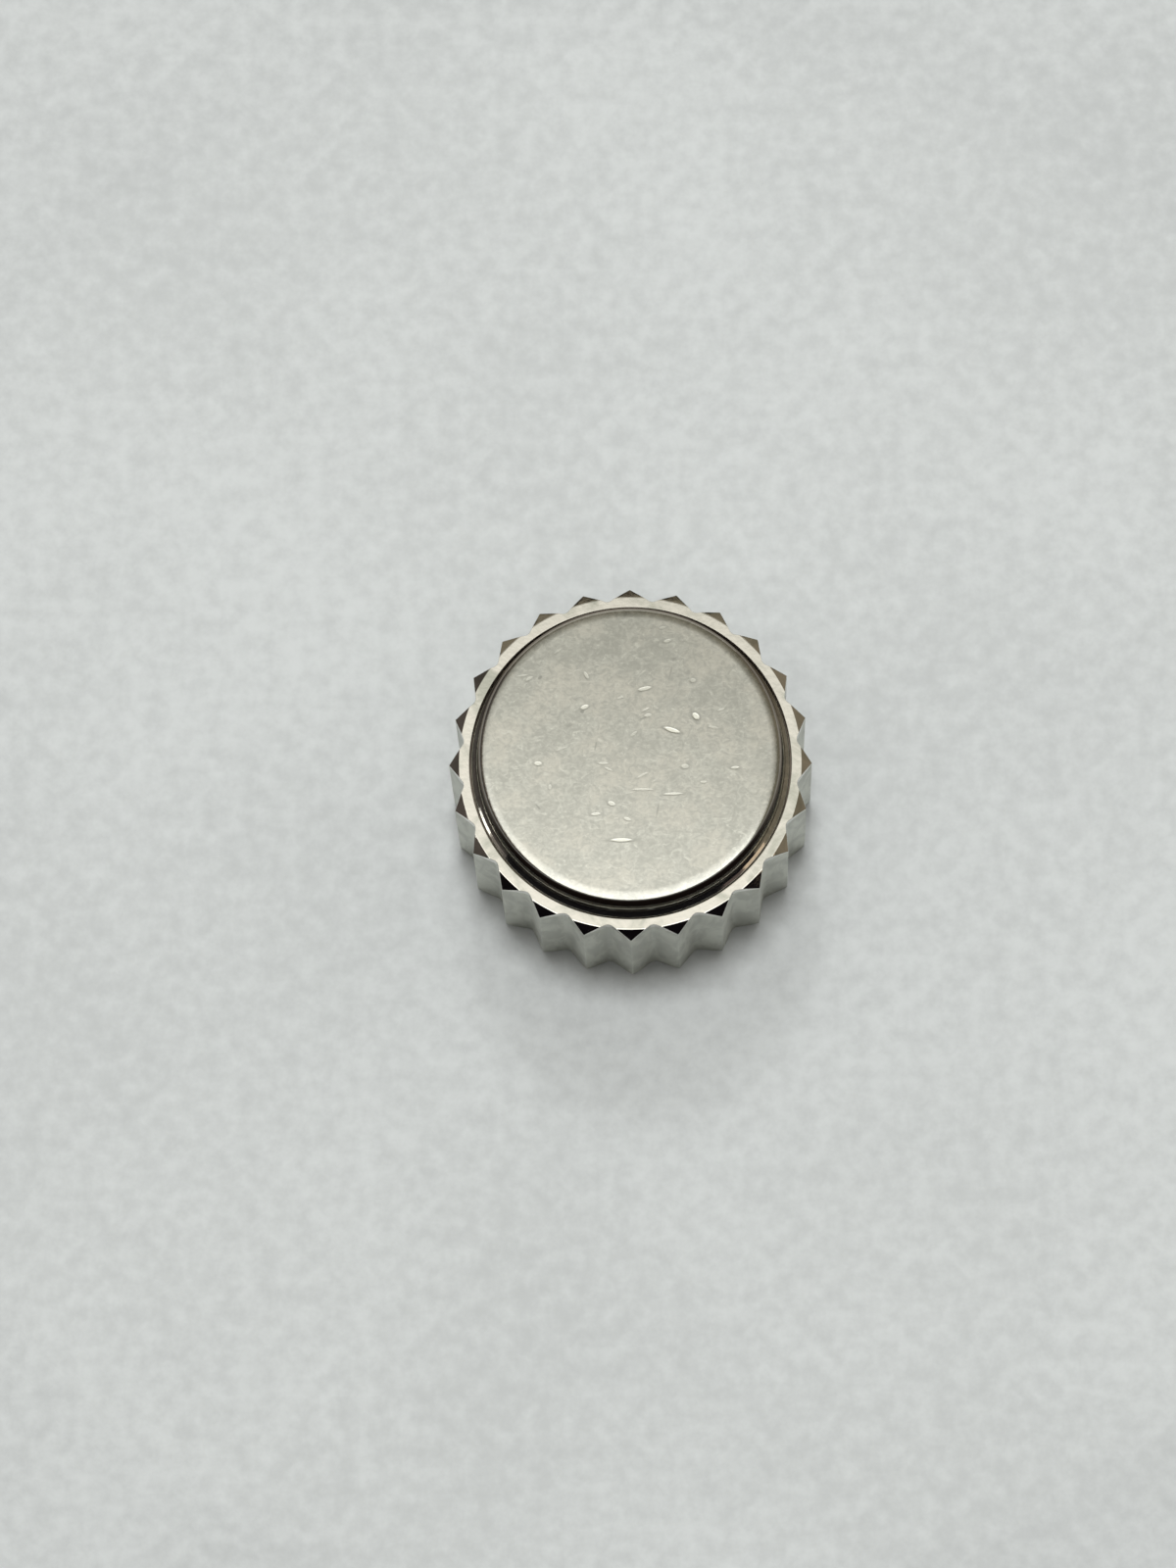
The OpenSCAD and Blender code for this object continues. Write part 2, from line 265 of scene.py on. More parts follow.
def split_at_radius(points, radius):
    """The closed line with a point added wherever it crosses a circle round the axis."""
    result = []
    for i, point in enumerate(points):
        a, b = Vector(point), Vector(points[(i + 1) % len(points)])
        result.append(tuple(a))
        if (a.length - radius) * (b.length - radius) < 0:
            step = b - a
            p = a.dot(step) / step.length_squared
            q = (a.length_squared - radius ** 2) / step.length_squared
            root = math.sqrt(p * p - q)
            share = next(t for t in (-p - root, -p + root) if 0 <= t <= 1)
            result.append(tuple(a + step * share))
    return result


def tooth_outline():
    """Closed outline of the teeth: straight flanks, with small rounds on the tips and larger ones
    in the valleys. A point is added wherever it crosses the land's edge or the foot's."""
    half_pitch = math.pi / TEETH
    flare = math.tan(TOOTH_ANGLE / 2)
    valley_r = TIP_R * flare / (math.sin(half_pitch) + flare * math.cos(half_pitch))
    star = [(r * math.cos(i * half_pitch), r * math.sin(i * half_pitch))
            for i, r in enumerate([TIP_R, valley_r] * TEETH)]
    rounded = []
    for i in range(len(star)):
        near = [star[i - 1], star[i], star[(i + 1) % len(star)]]
        is_tip = i % 2 == 0
        radius, steps = (TIP_ROUND, CORNER_STEPS) if is_tip else (VALLEY_ROUND, VALLEY_STEPS)
        rounded += round_corners(near, lambda k: radius, steps)[1:-1]
    outline = split_long(rounded, FLANK_STEP)
    for radius in (LAND_R, FOOT_R):
        outline = split_at_radius(outline, radius)
    return outline


# Meshes, made in millimetres

def add_skin(mesh, stations, closed):
    """Adds the surface through a ring of stations, each an angle and its profile of
    (radius, height). A closed profile joins its own ends too."""
    rows = [[mesh.verts.new((r * math.cos(angle), r * math.sin(angle), z)) for r, z in profile]
            for angle, profile in stations]
    spans = len(rows[0]) if closed else len(rows[0]) - 1
    for i, row in enumerate(rows):
        following = rows[(i + 1) % len(rows)]
        for j in range(spans):
            k = (j + 1) % len(row)
            mesh.faces.new((row[j], row[k], following[k], following[j]))


def ring_stations(columns, profile_at):
    """Stations evenly round the axis. profile_at(angle) gives the profile there."""
    angles = [2 * math.pi * i / columns for i in range(columns)]
    return [(a, profile_at(a)) for a in angles]


def thread_radius(crest, root, phase):
    """Radius of an internal thread at a share of its pitch, with a flat crest and a narrower
    flat root."""
    rise = 1 - abs(2 * phase - 1)
    share = min(1, max(0, (rise - THREAD_CREST) / (1 - THREAD_CREST - THREAD_ROOT)))
    return crest + (root - crest) * share


def add_thread(mesh, crest, pitch, low, high, mouth, relief, columns):
    """Adds a right-handed internal thread as one sheet that climbs a pitch each turn. It starts on
    a ring of radius mouth at the low end, and fades into the crest's radius under the high end.
    The sheet runs in THREAD_LEAD_IN turns below the low end, where it is held on that ring."""
    root = crest + THREAD_DEPTH * pitch
    steps = THREAD_STEPS * (math.ceil((high - low) / pitch) + THREAD_LEAD_IN + 1)
    rows = []
    for i in range(columns + 1):
        turn = i / columns
        row = []
        for j in range(steps + 1):
            z = low + pitch * (j / THREAD_STEPS - THREAD_LEAD_IN + turn)
            if z <= low:
                r, z = mouth, low
            elif z >= high:
                r, z = crest, high
            else:
                fade = min(1, max(0, (high - relief - z) / (pitch / 2)))
                cut = thread_radius(crest, root, j % THREAD_STEPS / THREAD_STEPS) - crest
                r = max(crest + cut * fade, mouth - (z - low))
            angle = 2 * math.pi * turn
            row.append(mesh.verts.new((r * math.cos(angle), r * math.sin(angle), z)))
        rows.append(row)
    for i in range(columns):
        for j in range(steps):
            mesh.faces.new((rows[i][j], rows[i][j + 1], rows[i + 1][j + 1], rows[i + 1][j]))


def corner_normals(mesh):
    """Normal of each face's corner. Faces at a point that lie nearly alike share theirs, and large
    ones outweigh small ones, so flat faces look flat and only their narrow edges look round."""
    normals = {}
    for vert in mesh.verts:
        faces = [(face, face.normal, face.calc_area() ** 2) for face in vert.link_faces]
        for face, facing, _ in faces:
            total = Vector()
            for _, other_facing, weight in faces:
                if facing.dot(other_facing) > SMOOTH_COSINE:
                    total += other_facing * weight
            normals[face.index, vert.index] = total.normalized()
    return [normals[face.index, vert.index] for face in mesh.faces for vert in face.verts]


def finish_piece(name, mesh, material, node, body="head"):
    """Turns a mesh in millimetres into a piece that stands for a CAD node and rides on its body."""
    bmesh.ops.remove_doubles(mesh, verts=mesh.verts, dist=MERGE)
    bmesh.ops.recalc_face_normals(mesh, faces=mesh.faces)
    mesh.normal_update()
    mesh.verts.index_update()
    mesh.faces.index_update()
    normals = corner_normals(mesh)
    bmesh.ops.scale(mesh, vec=(MM, MM, MM), verts=mesh.verts)
    data = bpy.data.meshes.new(name)
    mesh.to_mesh(data)
    mesh.free()
    data.shade_smooth()
    data.normals_split_custom_set(normals)
    data.materials.append(material)
    made = bpy.data.objects.new(name, data)
    bpy.context.scene.collection.objects.link(made)
    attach(made, body)
    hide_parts(node)
    return made


def turned_piece(name, profile, material, node, edge=EDGE):
    """A ring or washer turned from a closed profile, with its corners broken."""
    mesh = bmesh.new()
    soft = round_corners(profile, lambda i: edge, closed=True)
    add_skin(mesh, ring_stations(ROUND_COLUMNS, lambda a: soft), closed=True)
    finish_piece(name, mesh, material, node)


def box_profile(inner, outer, low, high):
    """Profile of a flat ring."""
    return [(inner, low), (outer, low), (outer, high), (inner, high)]


# Pieces

def make_head(material):
    """Toothed head. The outline of the teeth sets where each station's wall stands."""
    def top(r):
        return LAND_Z - max(0, r - LAND_R) * CHAMFER_H / CHAMFER_W

    def foot(r):
        return max(0, r - FOOT_R)

    inside = round_corners([
        (FOOT_R, 0),
        (SLEEVE_R + PRESS_GAP, 0),
        (SLEEVE_R + PRESS_GAP, SHOULDER_Z),
        (GASKET_R + RING_GAP, SHOULDER_Z),
        (GASKET_R + RING_GAP, GASKET_TOP_Z),
        (SHANK_R + PRESS_GAP, GASKET_TOP_Z),
        (SHANK_R + PRESS_GAP, BOSS_Z),
        (CAP_BORE_R - PRESS_GAP, BOSS_Z),
        (CAP_BORE_R - PRESS_GAP, BRIM_SEAT_Z),
        (COUNTERBORE_R, BRIM_SEAT_Z),
        (COUNTERBORE_R, LAND_Z),
        (LAND_R - LAND_W / 2, LAND_Z),
    ], lambda i: SOCKET_BREAK if i == 1 else EDGE)[1:-1]

    def profile(wall_r):
        lip = wall_r - EDGE
        land_edge = min(LAND_R + EDGE, lip)
        foot_edge = min(FOOT_R + EDGE, lip)
        return [
            (min(LAND_R, wall_r) - EDGE, LAND_Z),
            (land_edge, top(land_edge)),
            (lip, top(lip)),
            (wall_r, top(wall_r) - EDGE),
            (wall_r, foot(wall_r) + EDGE),
            (lip, foot(lip)),
            (foot_edge, foot(foot_edge)),
            (min(FOOT_R, wall_r) - EDGE, 0),
        ] + inside

    mesh = bmesh.new()
    stations = [(math.atan2(y, x), profile(math.hypot(x, y))) for x, y in tooth_outline()]
    add_skin(mesh, stations, closed=True)
    finish_piece("toothed_head", mesh, material, "head_shell")


def make_cap(material):
    """Cap: domed face, rounded edge, crisp corner, wall, fillet and sloping brim. It is hollow."""
    face_r = CAP_R - CAP_EDGE_W
    dome = [(face_r * i / CURVE_STEPS, CAP_TOP_Z - CAP_DOME * (i / CURVE_STEPS) ** 2)
            for i in range(CURVE_STEPS)]
    edge_w = CAP_EDGE_W / math.cos(math.radians(CAP_EDGE_END))
    edge = ellipse_arc((face_r, CAP_FLAT_Z - CAP_EDGE_H), edge_w, CAP_EDGE_H, 90, CAP_EDGE_END)
    fillet_centre = (CAP_R + CAP_FILLET, LAND_Z + CAP_FILLET * math.cos(BRIM_SLOPE))
    fillet = arc(fillet_centre, CAP_FILLET, 180, 270 - math.degrees(BRIM_SLOPE))
    fillet_end = CAP_R + CAP_FILLET * (1 - math.sin(BRIM_SLOPE))
    rim_z = LAND_Z - (BRIM_R - fillet_end) * math.tan(BRIM_SLOPE)
    under = round_corners([
        fillet[-1],
        (BRIM_R, rim_z),
        (BRIM_R, BRIM_SEAT_Z),
        (CAP_BORE_R, BRIM_SEAT_Z),
        (CAP_BORE_R, CAP_FLAT_Z - CAP_T),
        (0, CAP_FLAT_Z - CAP_T),
    ], lambda i: EDGE)[1:]
    profile = dome + edge + fillet + under
    mesh = bmesh.new()
    add_skin(mesh, ring_stations(ROUND_COLUMNS, lambda a: profile), closed=False)
    finish_piece("satin_cap", mesh, material, "top_cap")


def make_sleeve(material):
    """Sleeve with the internal thread for the case tube."""
    root = TUBE_THREAD_D / 2
    crest = root - THREAD_DEPTH * TUBE_THREAD_PITCH
    mouth = root + EDGE
    mesh = bmesh.new()
    add_thread(mesh, crest, TUBE_THREAD_PITCH, SLEEVE_Z, SLEEVE_TOP_Z,
               mouth, TUBE_THREAD_RELIEF, THREAD_COLUMNS)
    shell = round_corners([
        (mouth, SLEEVE_Z),
        (SLEEVE_R, SLEEVE_Z),
        (SLEEVE_R, SLEEVE_TOP_Z),
        (crest, SLEEVE_TOP_Z),
    ], lambda i: EDGE)
    add_skin(mesh, ring_stations(THREAD_COLUMNS, lambda a: shell), closed=False)
    finish_piece("threaded_sleeve", mesh, material, "thread_sleeve")


def hex_radius(across_flats, angle, corner_cut=0.0):
    """Distance from the axis to a hexagon with a corner on +X, its corners cut back by a length."""
    sixth = math.pi / 3
    plain = across_flats / 2 / math.cos(angle % sixth - sixth / 2)
    return min(plain, across_flats / 2 / math.cos(sixth / 2) - corner_cut)


def make_guide_tube(material):
    """Central post with its O-ring groove outside and its hexagonal bore inside."""
    ceiling_z = POST_TOP_Z - GUIDE_ROOF_T
    seat_r = RING_R + RING_LEDGE_GAP
    groove_z = (O_RING_Z + O_RING_TOP_Z) / 2
    groove_r = O_RING_R - O_RING_CORD_D - PRESS_GAP

    def profile(angle):
        bore = hex_radius(HEX_AF, angle)
        return round_corners([
            (0, ceiling_z),
            (bore, ceiling_z),
            (bore, RING_TOP_Z),
            (seat_r, RING_TOP_Z),
            (seat_r, POST_Z),
            (POST_R - GUIDE_CHAMFER, POST_Z),
            (POST_R, POST_Z + GUIDE_CHAMFER),
            (POST_R, groove_z - GROOVE_W / 2),
            (groove_r, groove_z - GROOVE_W / 2),
            (groove_r, groove_z + GROOVE_W / 2),
            (POST_R, groove_z + GROOVE_W / 2),
            (POST_R, SHOULDER_Z),
            (SHANK_R, SHOULDER_Z),
            (SHANK_R, POST_TOP_Z),
            (0, POST_TOP_Z),
        ], lambda i: EDGE)

    mesh = bmesh.new()
    add_skin(mesh, ring_stations(HEX_COLUMNS, profile), closed=False)
    finish_piece("guide_post", mesh, material, "guide_tube")


def make_hub(material):
    """Sliding hub: hexagonal head, round neck, and a tapped blind hole for the stem."""
    root = STEM_TAP_R + THREAD_DEPTH * STEM_THREAD_PITCH
    head_z = RING_TOP_Z + SEAT_GAP
    hole_z = HUB_TOP_Z - STEM_HOLE_ROOF

    def profile(angle):
        head_r = hex_radius(HUB_AF, angle, EDGE)
        return round_corners([
            (root, HUB_Z),
            (NECK_R, HUB_Z),
            (NECK_R, head_z),
            (head_r, head_z),
            (head_r, HUB_TOP_Z),
            (0, HUB_TOP_Z),
        ], lambda i: EDGE)

    mesh = bmesh.new()
    add_thread(mesh, STEM_TAP_R, STEM_THREAD_PITCH, HUB_Z, hole_z,
               root, STEM_THREAD_PITCH / 2, HEX_COLUMNS)
    roof = [(STEM_TAP_R, hole_z), (0, hole_z)]
    add_skin(mesh, ring_stations(HEX_COLUMNS, lambda a: roof), closed=False)
    add_skin(mesh, ring_stations(HEX_COLUMNS, profile), closed=False)
    finish_piece("sliding_hub", mesh, material, "stem_hub", "hub")


def make_spring(material):
    """Compression spring with closed ends, as one wire."""
    coil_r = SPRING_R - WIRE_D / 2
    low = SPRING_Z + WIRE_D / 2
    rise = SPRING_TOP_Z - SPRING_Z - WIRE_D
    closed_pitch = CLOSED_PITCH * WIRE_D
    open_pitch = (rise - 2 * CLOSED_TURNS * closed_pitch) / (SPRING_TURNS - 2 * CLOSED_TURNS)

    def height(turn):
        if turn < CLOSED_TURNS:
            return turn * closed_pitch
        if turn > SPRING_TURNS - CLOSED_TURNS:
            return rise - (SPRING_TURNS - turn) * closed_pitch
        return CLOSED_TURNS * closed_pitch + (turn - CLOSED_TURNS) * open_pitch

    rings = int(SPRING_TURNS * WIRE_RINGS)
    mesh = bmesh.new()
    rows = []
    for i in range(rings + 1):
        turn = i / WIRE_RINGS
        angle = 2 * math.pi * turn
        row = []
        for j in range(WIRE_SIDES):
            side = 2 * math.pi * j / WIRE_SIDES
            out = coil_r + WIRE_D / 2 * math.cos(side)
            z = low + height(turn) + WIRE_D / 2 * math.sin(side)
            row.append(mesh.verts.new((out * math.cos(angle), out * math.sin(angle), z)))
        rows.append(row)
    for i in range(rings):
        for j in range(WIRE_SIDES):
            k = (j + 1) % WIRE_SIDES
            mesh.faces.new((rows[i][j], rows[i][k], rows[i + 1][k], rows[i + 1][j]))
    mesh.faces.new(rows[0])
    mesh.faces.new(rows[-1])
    made = finish_piece("coil_spring", mesh, material, "hub_spring")
    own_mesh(made)


def make_small_rings(washer_material, rubber_material):
    """The washers, the retaining ring, the gasket and the O-ring."""
    washers = [
        ("spring_seat_washer", WASHER_BORE_R, WASHER_R, WASHER_Z, WASHER_TOP_Z, "spring_washer"),
        ("retaining_ring", NECK_R + NECK_GAP, RING_R, RING_Z, RING_TOP_Z, "hub_retaining_ring"),
        ("slip_washer", SHANK_R + RING_GAP, SLIP_R, SLIP_Z, SLIP_TOP_Z, "gasket_washer"),
    ]
    for name, *sizes, node in washers:
        turned_piece(name, box_profile(*sizes), washer_material, node)
    gasket = box_profile(SHANK_R + RING_GAP, GASKET_R, GASKET_Z, GASKET_TOP_Z)
    turned_piece("socket_gasket", gasket, rubber_material, "face_gasket",
                 GASKET_EDGE)
    cord_r = O_RING_CORD_D / 2
    cord_centre = (O_RING_R - cord_r, (O_RING_Z + O_RING_TOP_Z) / 2)
    cord = arc(cord_centre, cord_r, 0, 360, 2 * CURVE_STEPS)[:-1]
    turned_piece("rubber_o_ring", cord, rubber_material, "guide_o_ring", 0)


# Materials. Colours are linear, and lengths in the nodes are metres.

HEAD_COLOUR = (0.68, 0.665, 0.615)
STAIN_COLOUR = (0.50, 0.51, 0.455)
SEAM_COLOUR = (0.50, 0.42, 0.34)
# Painted shade: near black, for the band low on the cap's wall that stands in for its dark
# reflection in front
DARK_SHADE_COLOUR = (0.018, 0.012, 0.010)
# Painted shade: brown, for the back of the cap's edge and for the shade band away from the front
BROWN_SHADE_COLOUR = (0.170, 0.148, 0.122)
CAP_COLOUR = (0.54, 0.547, 0.507)
CAP_WARM = (0.607, 0.602, 0.550)
TURNED_COLOUR = (0.60, 0.59, 0.57)
HUB_COLOUR = (0.62, 0.60, 0.55)
WASHER_COLOUR = (0.58, 0.58, 0.57)
SPRING_COLOUR = (0.56, 0.56, 0.57)
RUBBER_COLOUR = (0.022, 0.022, 0.024)

# Lighter and darker tones, as factors of a colour
HEAD_CLEAN = 1.12
WALL_TONES = (0.86, 1.10)
CAP_DARK = 0.83
CAP_LIGHT = 1.12
STROKE_LIGHT = 1.24
# The dark scratches, and the painted shadow rims round the light marks
MARK_DARK = 0.62
# Painted highlight: the light marks, the glints of dings
GLINT_PAINT_TONE = 1.65
TURNED_TONES = (0.93, 1.05)
RUBBER_TONES = (0.75, 1.5)

# Roughness, from the least to the most, and what the dull parts of the head add to it
HEAD_ROUGH = (0.06, 0.10)
SEAM_ROUGH = 0.4
WALL_ROUGH = 0.34
CAP_ROUGH = (0.30, 0.35)
POLISH_ROUGH = 0.06
TURNED_ROUGH = 0.24
HUB_ROUGH = 0.22
SPRING_ROUGH = 0.26
WASHER_ROUGH = 0.30
TURNED_SPREAD = (-0.05, 0.08)
RUBBER_ROUGH = (0.38, 0.55)

# Noises: cells per metre, detail, roughness, stretch along the axes, and twist into curls
SMEAR = dict(scale=1400, detail=4, twist=0.8)
DIRT = dict(scale=3000, detail=4, roughness=0.6, stretch=(1, 1, 0.4), twist=0.6)
TOOL_LINES = dict(scale=9000, detail=2, stretch=(1, 1, 0.03))
HEAD_GRAIN = dict(scale=30000, detail=2)
CLOUD = dict(scale=1300, detail=4)
MOTTLE = dict(scale=6000, detail=4, roughness=0.65, twist=1.4)
STROKES = dict(scale=8500, detail=3, roughness=0.65, stretch=(0.55, 1, 1), twist=1.6)
CAP_GRAIN = dict(scale=22000, detail=2)
TURNED_CLOUD = dict(scale=1500, detail=4)
TURNED_RINGS = 40000
RUBBER_MOTTLE = dict(scale=6000, detail=4)
RUBBER_GRAIN = dict(scale=40000, detail=2)

# Values of a noise between which a look changes, and the most that a stroke covers
NOISE_LOW, NOISE_HIGH = 0.3, 0.7
SMEAR_FADE = (0.30, 0.56)
DIRT_FADE = (0.38, 0.62)
CLOUD_FADE = (0.4, 0.6)
TONE_FADE = (0.38, 0.62)
STROKE_FADE = (0.60, 0.68)
STROKE_MOST = 0.6
SATIN_FADE = (0.35, 0.65)

# Depths at which the head's looks begin and are full, both in from the land's outer edge and down
# from the land, in millimetres
HEAD_SKIN = (0.60, 0.50)

# How much less metallic the counterbore is
SEAM_LOSS = 0.7

# Where the cap's looks change: as shares of its edge's height from the middle of the edge's ellipse
# up, as radii of its fillet from the land up, or in millimetres behind the axis
POLISH_EDGE = (0.62, 0.92)
# Painted shade: a dark band low on the cap's edge, wall and fillet, brown except at the front
SHADE_BAND_EDGE = (0.50, 0.68)
# Painted shade: brown low on the edge behind
BACK_SHADE_EDGE = (0.50, 0.85)
SHADE_BAND_FILLET = (1.0, 1.12)
HAZE_FILLET = (0.25, 0.8)
# Distances behind the axis over which the painted shade band turns from black to brown, and over
# which the brown shade on the edge grows
BROWN_SHADE_BEHIND = (-2.0, -0.3)
BACK_SHADE_BEHIND = (0.3, 2.0)
BACK_SHADE_MOST = 0.9
HAZE = (0.02, 0.16)

# Distances from a mark's middle, as shares of its half length and half width, between which it
# fades. A light mark, a painted highlight, has a faint painted shadow as its rim.
GLINT_MARK_FADE = (0.65, 1.15)
DARK_MARK_FADE = (0.55, 1.05)
RIM_SHADOW_FADE = (1.0, 1.9)
RIM_SHADOW_TONE = 0.6

# Heights of the bumps, in metres
HEAD_BUMP = 1.5e-6
CAP_BUMP = 1.6e-6
TURNED_BUMP = 2e-6
SPRING_BUMP = 1e-6
RUBBER_BUMP = 2.5e-6

# A pixel of the photograph on the crown, in metres
PIXEL = 1 / 53 * MM

# Marks on the cap's face: pixel x and y in the photograph, length and width in its pixels, angle in
# degrees, and tone, from 1 for a ding painted bright, a painted highlight, to -1 for a dark scratch
MARKS = [
    (634, 857, 22, 3.8, 0, 0.9),
    (685.6, 744.9, 17, 4.6, -18, 1),
    (710, 730.7, 9, 6.0, -45, 1),
    (657.8, 702.7, 14, 4.2, 12, 0.7),
    (596.5, 721.5, 9, 4.6, 22, 0.8),
    (548.9, 779, 8, 4.6, 0, 0.7),
    (598.2, 688.9, 9, 3.6, -60, 0.5),
    (540, 692, 9, 3.4, 30, 0.35),
    (533, 689, 12, 2.4, 8, 0.3),
    (707, 694, 6, 4.8, 0, 0.4),
    (681, 653.5, 8, 3.8, 15, 0.45),
    (624, 820, 8, 4.8, -20, 0.6),
    (607.8, 830.7, 10, 3.2, 5, 0.6),
    (640, 835.6, 8, 3.4, -20, 0.5),
    (686.7, 810, 20, 2.8, 2, 0.6),
    (655.6, 805.6, 22, 2.4, 0, 0.4),
    (750, 783, 9, 3.0, 5, 0.6),
    (658.9, 724, 9, 2.4, 25, 0.4),
    (661, 730, 8, 3.6, 10, 0.45),
    (633, 712, 7, 2.4, 15, 0.35),
    (615.6, 779, 11, 2.6, 0, 0.4),
    (621, 785, 9, 2.2, -25, 0.35),
    (699, 782, 8, 5.0, 0, 0.4),
    (655.6, 791, 14, 2.6, 28, 0.35),
    (561, 803, 6, 3.6, 85, 0.4),
    (717.8, 797.8, 7, 2.6, 0, 0.4),
    (735.6, 724, 8, 2.6, 20, 0.35),
    (646.7, 749, 8, 3.0, 40, 0.35),
    (676, 640, 8, 3.0, 10, 0.3),
    (569, 664, 10, 2.6, 35, 0.25),
    (728, 742, 12, 2.6, -10, 0.25),
    (573, 764, 13, 2.2, 20, 0.25),
    (551, 691, 6, 4.0, 40, -0.8),
    (594, 726, 5, 4.0, 0, -0.9),
    (684.4, 685.6, 14, 2.4, 78, -0.5),
    (687.8, 672, 5, 3.0, 0, -0.6),
    (607.8, 761, 11, 2.4, 80, -0.6),
    (671, 826.7, 20, 2.4, 80, -0.5),
    (548.9, 823, 9, 2.4, -50, -0.8),
    (656, 733, 9, 2.4, 20, -0.7),
    (581, 740, 9, 5.0, 30, -0.35),
    (638, 626, 8, 4.0, 70, -0.6),
]


def add_node(tree, kind, inputs=None, **settings):
    """Adds a shader node, with its settings, and its inputs as values or links."""
    node = tree.nodes.new(kind)
    for key, value in settings.items():
        setattr(node, key, value)
    for key, value in (inputs or {}).items():
        if isinstance(value, bpy.types.NodeSocket):
            tree.links.new(value, node.inputs[key])
        else:
            node.inputs[key].default_value = value
    return node


def new_material(name):
    """A material with a bare Principled shader. Returns the material, its tree, the shader and the
    object coordinates."""
    material = bpy.data.materials.new(name)
    material.use_nodes = True
    tree = material.node_tree
    shader = tree.nodes["Principled BSDF"]
    place = add_node(tree, "ShaderNodeTexCoord").outputs["Object"]
    return material, tree, shader, place


def noise(tree, place, scale, detail=3.0, roughness=0.5, stretch=(1, 1, 1), twist=0.0):
    """Noise of a scale per metre, stretched by factors along the axes and twisted into curls."""
    placed = add_node(tree, "ShaderNodeMapping", {"Vector": place, "Scale": stretch})
    return add_node(tree, "ShaderNodeTexNoise", {
        "Vector": placed.outputs["Vector"], "Scale": scale, "Detail": detail,
        "Roughness": roughness, "Distortion": twist}).outputs["Fac"]


def ranged(tree, value, low, high, start=NOISE_LOW, end=NOISE_HIGH, unit=1):
    """The value from start to end, given in units, turned into low to high and held there."""
    return add_node(tree, "ShaderNodeMapRange", {
        "Value": value, "From Min": start * unit, "From Max": end * unit,
        "To Min": low, "To Max": high}, interpolation_type="SMOOTHSTEP").outputs["Result"]


def rises(tree, value, start=NOISE_LOW, end=NOISE_HIGH, unit=1):
    """Mask that goes from 0 to 1 as the value goes from start to end."""
    return ranged(tree, value, 0, 1, start, end, unit)


def falls(tree, value, start, end, unit=1):
    """Mask that goes from 1 to 0 as the value goes from start to end."""
    return ranged(tree, value, 1, 0, start, end, unit)


def sum_of(tree, *terms):
    """Sum of (value, factor) pairs."""
    total = None
    for value, factor in terms:
        inputs = {0: value, 1: factor, 2: 0.0 if total is None else total}
        total = add_node(tree, "ShaderNodeMath", inputs, operation="MULTIPLY_ADD").outputs[0]
    return total


def math_node(tree, operation, first, second):
    """Result of an operation on two values."""
    return add_node(tree, "ShaderNodeMath", {0: first, 1: second}, operation=operation).outputs[0]


def product(tree, first, second):
    """One mask times another."""
    return math_node(tree, "MULTIPLY", first, second)


def larger(tree, first, second):
    """The larger of two values."""
    return math_node(tree, "MAXIMUM", first, second)


def mixed(tree, factor, first, second):
    """Colour between two, each a colour or a link."""
    inputs = {0: factor, 6: first, 7: second}
    return add_node(tree, "ShaderNodeMix", inputs, data_type="RGBA").outputs[2]


def shade(colour, factor=1.0):
    """A colour with its alpha, made lighter or darker."""
    return (colour[0] * factor, colour[1] * factor, colour[2] * factor, 1)


def bumped(tree, shader, height, depth):
    """Gives the shader a bump whose height of 1 is depth metres."""
    bump = add_node(tree, "ShaderNodeBump", {"Height": height, "Strength": 1.0, "Distance": depth})
    tree.links.new(bump.outputs["Normal"], shader.inputs["Normal"])


def radius_of(tree, place):
    """Distance from the axis."""
    flat = add_node(tree, "ShaderNodeVectorMath", {0: place, 1: (1, 1, 0)}, operation="MULTIPLY")
    length = add_node(tree, "ShaderNodeVectorMath", {0: flat.outputs["Vector"]}, operation="LENGTH")
    return length.outputs["Value"]


def parts_of(tree, place):
    """X, Y and Z of the coordinates."""
    return add_node(tree, "ShaderNodeSeparateXYZ", {"Vector": place}).outputs


def polished_material():
    """Polished steel of the head, smeared. The tooth walls are duller and mottled, with faint tool
    lines, and the counterbore is dull and brown."""
    material, tree, shader, place = new_material("polished_steel")
    radius, height = radius_of(tree, place), parts_of(tree, place)["Z"]
    deep, shallow = HEAD_SKIN
    bore_r = LAND_R - LAND_W
    inward = falls(tree, radius, bore_r + 0.2 * EDGE, bore_r + 0.8 * EDGE, MM)
    sunk = falls(tree, height, LAND_Z - 2 * EDGE, LAND_Z - EDGE, MM)
    near = rises(tree, height, LAND_Z - deep, LAND_Z - shallow, MM)
    seam = product(tree, product(tree, inward, sunk), near)
    outward = rises(tree, radius, LAND_R - deep, LAND_R - shallow, MM)
    under = falls(tree, height, LAND_Z - CHAMFER_H - EDGE, LAND_Z - CHAMFER_H, MM)
    wall = product(tree, outward, under)
    smear, dirt = noise(tree, place, **SMEAR), noise(tree, place, **DIRT)
    lines, grain = noise(tree, place, **TOOL_LINES), noise(tree, place, **HEAD_GRAIN)
    clean = mixed(tree, rises(tree, smear, *SMEAR_FADE),
                  shade(STAIN_COLOUR), shade(HEAD_COLOUR, HEAD_CLEAN))
    dark, light = [shade(STAIN_COLOUR, tone) for tone in WALL_TONES]
    dull = mixed(tree, rises(tree, dirt, *DIRT_FADE), dark, light)
    steel = mixed(tree, wall, clean, dull)
    polish = ranged(tree, smear, *HEAD_ROUGH)
    rough = sum_of(tree, (polish, 1.0), (seam, SEAM_ROUGH), (wall, WALL_ROUGH))
    tree.links.new(mixed(tree, seam, steel, shade(SEAM_COLOUR)), shader.inputs["Base Color"])
    tree.links.new(rough, shader.inputs["Roughness"])
    tree.links.new(sum_of(tree, (seam, -SEAM_LOSS), (1.0, 1.0)), shader.inputs["Metallic"])
    bumped(tree, shader, sum_of(tree, (lines, 1.0), (grain, 0.12)), HEAD_BUMP)
    return material


